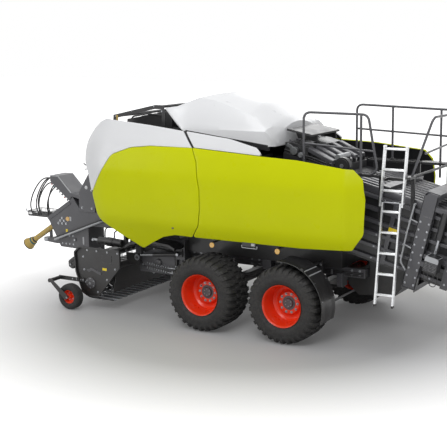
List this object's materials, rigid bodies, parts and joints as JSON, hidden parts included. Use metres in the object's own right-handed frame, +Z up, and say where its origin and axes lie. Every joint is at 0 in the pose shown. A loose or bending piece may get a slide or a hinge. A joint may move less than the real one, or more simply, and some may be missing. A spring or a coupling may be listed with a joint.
{
  "type": "large square baler",
  "caption": "Towed large square baler with tandem steered axles, a lifting pick-up, hinged side doors, a sloping bale channel and a folding chute.",
  "frame": {"origin": "on the ground under the middle of the machine's length and width", "axes": "+X the way it travels, towards the drawbar, +Y its left side, +Z up"},
  "size_m": [9.3292, 2.9, 3.32],
  "materials": {
    "lime_panel": "gloss lime-yellow coat",
    "white_panel": "gloss white coat",
    "red_rim": "gloss orange-red coat",
    "frame_grey": "satin dark grey coat",
    "black_paint": "satin black coat",
    "bare_steel": "galvanised or worn bright steel",
    "ladder_metal": "mill aluminium",
    "tyre_rubber": "moulded black rubber",
    "hose_rubber": "black hydraulic hose",
    "guard_yellow": "tan-yellow shaft guard with black rings",
    "amber_lens": "amber reflectors and lamp lenses"
  },
  "bodies": {
    "chassis": {"channel_slats": "bare_steel", "channel_walls": "black_paint", "control_box": "black_paint", "drawbar": "frame_grey", "front_roof": "black_paint", "front_shield": "black_paint", "hitch_eye": "bare_steel", "hose_fifth": "hose_rubber", "hose_fourth": "hose_rubber", "hose_inner": "hose_rubber", "hose_outer": "hose_rubber", "hose_rack": "frame_grey", "hose_second": "hose_rubber", "hose_third": "hose_rubber", "jack_tube": "frame_grey", "knotter_cover": "black_paint", "knotters": "black_paint", "ladder_upper": "ladder_metal", "main_frame": "frame_grey", "needle_guard": "black_paint", "platform_rails": "black_paint", "press_housing": "black_paint", "pto_shaft": "guard_yellow", "reflectors": "amber_lens", "tandem_axles": "frame_grey", "tension_yoke": "frame_grey", "top_hood": "white_panel", "twine_racks": "black_paint"},
    "wheel_front_left": {"tyre_front_left": "tyre_rubber", "rim_front_left": "red_rim"},
    "wheel_rear_left": {"tyre_rear_left": "tyre_rubber", "rim_rear_left": "red_rim"},
    "knuckle_left": {"steer_knuckle_left": "frame_grey"},
    "gauge_wheel_left": {"gauge_tyre_left": "tyre_rubber", "gauge_rim_left": "red_rim"},
    "door_front_left": {"door_front_white_left": "white_panel", "door_front_lime_left": "lime_panel"},
    "door_rear_left": {"door_rear_white_left": "white_panel", "door_rear_lime_left": "lime_panel"},
    "wheel_front_right": {"tyre_front_right": "tyre_rubber", "rim_front_right": "red_rim"},
    "wheel_rear_right": {"tyre_rear_right": "tyre_rubber", "rim_rear_right": "red_rim"},
    "knuckle_right": {"steer_knuckle_right": "frame_grey"},
    "gauge_wheel_right": {"gauge_tyre_right": "tyre_rubber", "gauge_rim_right": "red_rim"},
    "door_front_right": {"door_front_white_right": "white_panel", "door_front_lime_right": "lime_panel"},
    "door_rear_right": {"door_rear_white_right": "white_panel", "door_rear_lime_right": "lime_panel"},
    "tie_rod": {"tie_rod": "frame_grey"},
    "pickup": {"pickup_frame": "frame_grey", "pickup_bands": "black_paint"},
    "reel": {"pickup_reel": "bare_steel"},
    "crop_roller": {"crop_roller": "bare_steel"},
    "rotor": {"rotor": "bare_steel"},
    "flywheel": {"flywheel": "bare_steel"},
    "ladder_foot": {"ladder_lower": "ladder_metal"},
    "chute": {"chute": "bare_steel"},
    "jack": {"jack_leg": "bare_steel"}
  },
  "joints": [
    {"name": "wheel_front_left_spin", "type": "hinge", "parent": "chassis", "child": "wheel_front_left", "pos_m": [0.1917, 1.17, 0.538], "axis": [0, 1, 0], "continuous": true},
    {"name": "steer_left", "type": "hinge", "parent": "chassis", "child": "knuckle_left", "pos_m": [-1.1213, 0.8, 0.538], "axis": [0, 0, 1], "range_deg": [-12, 12]},
    {"name": "wheel_rear_left_spin", "type": "hinge", "parent": "knuckle_left", "child": "wheel_rear_left", "pos_m": [-1.1213, 1.17, 0.538], "axis": [0, 1, 0], "continuous": true},
    {"name": "gauge_wheel_left_spin", "type": "hinge", "parent": "pickup", "child": "gauge_wheel_left", "pos_m": [2.6202, 1.29, 0.2], "axis": [0, 1, 0], "continuous": true},
    {"name": "door_front_left_lift", "type": "hinge", "parent": "chassis", "child": "door_front_left", "pos_m": [1.1352, 1.08, 2.8], "axis": [1, 0, 0], "range_deg": [0, 75]},
    {"name": "door_rear_left_lift", "type": "hinge", "parent": "chassis", "child": "door_rear_left", "pos_m": [-0.1648, 1.16, 2.61], "axis": [1, 0, 0], "range_deg": [0, 75]},
    {"name": "wheel_front_right_spin", "type": "hinge", "parent": "chassis", "child": "wheel_front_right", "pos_m": [0.1917, -1.17, 0.538], "axis": [0, 1, 0], "continuous": true},
    {"name": "steer_right", "type": "hinge", "parent": "chassis", "child": "knuckle_right", "pos_m": [-1.1213, -0.8, 0.538], "axis": [0, 0, 1], "range_deg": [-12, 12]},
    {"name": "wheel_rear_right_spin", "type": "hinge", "parent": "knuckle_right", "child": "wheel_rear_right", "pos_m": [-1.1213, -1.17, 0.538], "axis": [0, 1, 0], "continuous": true},
    {"name": "gauge_wheel_right_spin", "type": "hinge", "parent": "pickup", "child": "gauge_wheel_right", "pos_m": [2.6202, -1.29, 0.2], "axis": [0, 1, 0], "continuous": true},
    {"name": "door_front_right_lift", "type": "hinge", "parent": "chassis", "child": "door_front_right", "pos_m": [1.1352, -1.08, 2.8], "axis": [-1, 0, 0], "range_deg": [0, 75]},
    {"name": "door_rear_right_lift", "type": "hinge", "parent": "chassis", "child": "door_rear_right", "pos_m": [-0.1648, -1.16, 2.61], "axis": [-1, 0, 0], "range_deg": [0, 75]},
    {"name": "tie_rod_swing", "type": "hinge", "parent": "knuckle_left", "child": "tie_rod", "pos_m": [-1.3513, 0.8, 0.373], "axis": [0, 0, 1], "range_deg": [-12, 12]},
    {"name": "pickup_lift", "type": "hinge", "parent": "chassis", "child": "pickup", "pos_m": [1.7352, 0, 0.8], "axis": [0, -1, 0], "range_deg": [0, 14]},
    {"name": "reel_spin", "type": "hinge", "parent": "pickup", "child": "reel", "pos_m": [2.3652, 0, 0.4], "axis": [0, 1, 0], "continuous": true},
    {"name": "crop_roller_spin", "type": "hinge", "parent": "pickup", "child": "crop_roller", "pos_m": [2.7852, 0, 0.64], "axis": [0, 1, 0], "continuous": true},
    {"name": "rotor_spin", "type": "hinge", "parent": "chassis", "child": "rotor", "pos_m": [1.3852, 0, 0.74], "axis": [0, 1, 0], "continuous": true},
    {"name": "flywheel_spin", "type": "hinge", "parent": "chassis", "child": "flywheel", "pos_m": [2.3002, 0, 1.74], "axis": [1, 0, 0], "continuous": true},
    {"name": "ladder_fold", "type": "hinge", "parent": "chassis", "child": "ladder_foot", "pos_m": [-2.4948, 0.92264, 1.99], "axis": [1, 0, 0], "range_deg": [0, 110]},
    {"name": "chute_fold", "type": "hinge", "parent": "chassis", "child": "chute", "pos_m": [-3.68476, 0, 0.71113], "axis": [0, 1, 0], "range_deg": [0, 80]},
    {"name": "jack_slide", "type": "slide", "parent": "chassis", "child": "jack", "axis": [0, 0, 1], "range_m": [0, 0.35]}
  ],
  "couplings": [
    {"joint": "steer_right", "follows": "steer_left", "ratio": 1},
    {"joint": "tie_rod_swing", "follows": "steer_left", "ratio": -1}
  ]
}
